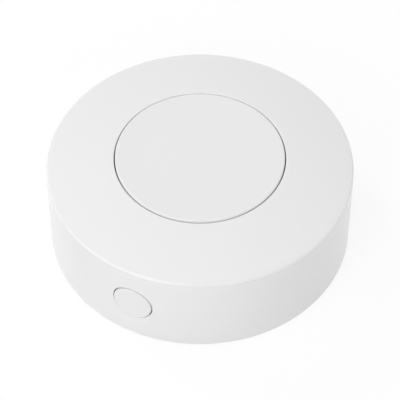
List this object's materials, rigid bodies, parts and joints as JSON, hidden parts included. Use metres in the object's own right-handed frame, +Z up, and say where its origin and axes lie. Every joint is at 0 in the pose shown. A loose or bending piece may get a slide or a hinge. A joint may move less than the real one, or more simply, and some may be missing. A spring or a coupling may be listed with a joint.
{
  "type": "smart button",
  "caption": "Round white wireless smart button with a wide dished push button on its domed top, a small round button in its side wall and a twist-off rear cover.",
  "frame": {"origin": "centre of the flat face it stands on, on the upright axis of the round body", "axes": "+Z up through the main button; the front is -Y, and the side button is 25.5 degrees from the front towards -X"},
  "size_m": [0.06, 0.06, 0.0212],
  "materials": {
    "white_shell": "white moulded plastic with a fine satin texture",
    "white_button": "white moulded plastic, satin, slightly smoother",
    "white_cover": "white moulded plastic with a fine texture",
    "foot_rubber": "pale grey soft rubber, matt",
    "spring_steel": "drawn spring wire and sheet, bright",
    "sheet_steel": "tinned steel sheet",
    "nickel_plate": "nickel-plated strip",
    "screw_zinc": "zinc-plated steel",
    "board_green": "glass-fibre board with green solder mask",
    "board_black": "glass-fibre board with black solder mask",
    "switch_black": "black moulded plastic",
    "chip_black": "black epoxy",
    "ferrite": "dark grey ferrite",
    "ceramic": "tan ceramic",
    "led_resin": "clear yellowish resin",
    "gold_pin": "gold-plated brass",
    "copper_track": "bare copper",
    "chassis_grey": "pale grey moulded plastic",
    "cell_jacket": "plain wrapped steel can"
  },
  "bodies": {
    "housing": {"antenna": "copper_track", "bridge_contact": "nickel_plate", "bridge_spring": "spring_steel", "capacitors": "ceramic", "chassis": "chassis_grey", "chassis_screws": "screw_zinc", "crystal": "sheet_steel", "front_cell": "cell_jacket", "main_board": "board_green", "main_switch_body": "switch_black", "main_switch_frame": "sheet_steel", "main_switch_legs": "sheet_steel", "main_switch_snap_dome": "spring_steel", "negative_contact": "nickel_plate", "negative_spring": "spring_steel", "positive_contact": "nickel_plate", "power_chip": "chip_black", "power_inductor": "ferrite", "radio_board": "board_black", "radio_chip": "chip_black", "rear_cell": "cell_jacket", "resistors": "chip_black", "return_spring": "spring_steel", "shield_can": "sheet_steel", "side_board": "board_green", "side_board_pins": "gold_pin", "side_switch_body": "switch_black", "side_switch_frame": "sheet_steel", "side_switch_legs": "sheet_steel", "side_switch_snap_dome": "spring_steel", "status_led": "led_resin", "top_housing": "white_shell"},
    "main_button": {"main_button": "white_button"},
    "main_plunger": {"main_switch_plunger": "switch_black"},
    "side_button": {"side_button": "white_button"},
    "side_plunger": {"side_switch_plunger": "switch_black"},
    "rear_cover": {"rear_cover": "white_cover", "rear_cover_feet": "foot_rubber"}
  },
  "joints": [
    {"name": "main_button_press", "type": "slide", "parent": "housing", "child": "main_button", "axis": [0, 0, -1], "range_m": [0, 0.0003], "stiffness_N_per_m": 4000, "springref_m": -0.0002, "deforming": ["return_spring"]},
    {"name": "main_plunger_press", "type": "slide", "parent": "housing", "child": "main_plunger", "axis": [0, 0, -1], "range_m": [0, 0.0003]},
    {"name": "side_button_press", "type": "slide", "parent": "housing", "child": "side_button", "axis": [0.4305, 0.9026, 0], "range_m": [0, 0.0003], "stiffness_N_per_m": 4000, "springref_m": -0.0002},
    {"name": "side_plunger_press", "type": "slide", "parent": "housing", "child": "side_plunger", "axis": [0.4305, 0.9026, 0], "range_m": [0, 0.0003]},
    {"name": "rear_cover_turn", "type": "hinge", "parent": "housing", "child": "rear_cover", "pos_m": [0, 0, 0], "axis": [0, 0, -1], "range_deg": [0, 24]}
  ],
  "couplings": [
    {"joint": "main_plunger_press", "follows": "main_button_press", "ratio": 1},
    {"joint": "side_plunger_press", "follows": "side_button_press", "ratio": 1}
  ]
}
